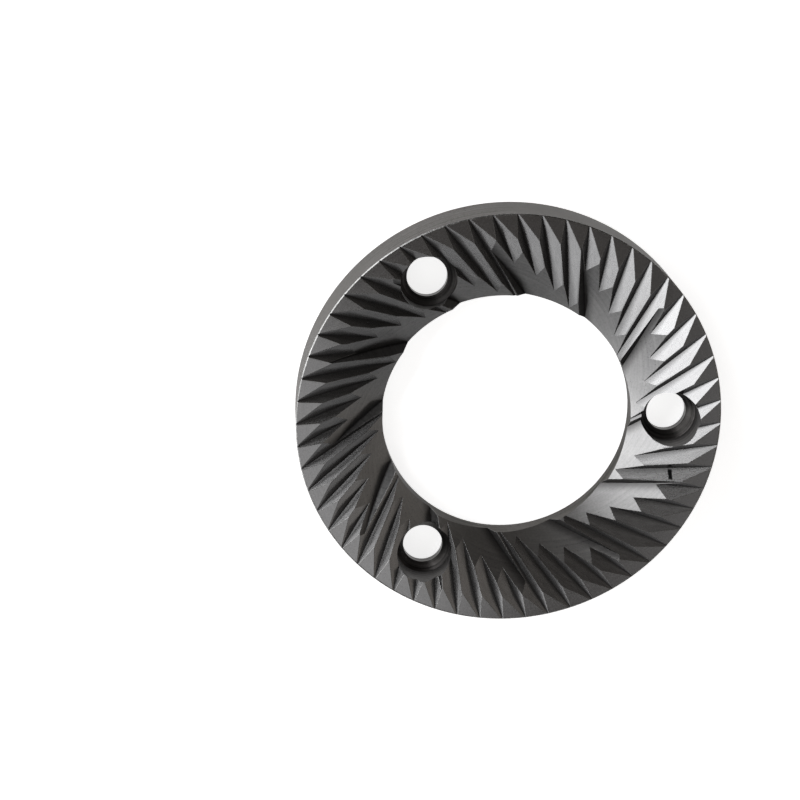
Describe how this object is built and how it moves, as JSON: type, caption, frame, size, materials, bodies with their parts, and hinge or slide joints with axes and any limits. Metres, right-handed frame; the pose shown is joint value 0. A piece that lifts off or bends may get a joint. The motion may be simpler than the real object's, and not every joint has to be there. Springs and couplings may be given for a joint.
{
  "type": "flat coffee grinder burr",
  "caption": "Flat steel grinding ring with slanted cutting teeth and feed gullets on one face, a wide bore and countersunk screw holes.",
  "frame": {"origin": "on the burr's axis, in the plane of the back face that it lies on", "axes": "+Z along the axis, out of the toothed face; +X from the axis through a tooth tip and the first screw hole"},
  "size_m": [0.064, 0.064, 0.0084],
  "materials": {
    "burr_steel": "dark hardened tool steel, milled and ground, unpainted"
  },
  "bodies": {
    "root": {"burr": "burr_steel"}
  },
  "joints": []
}
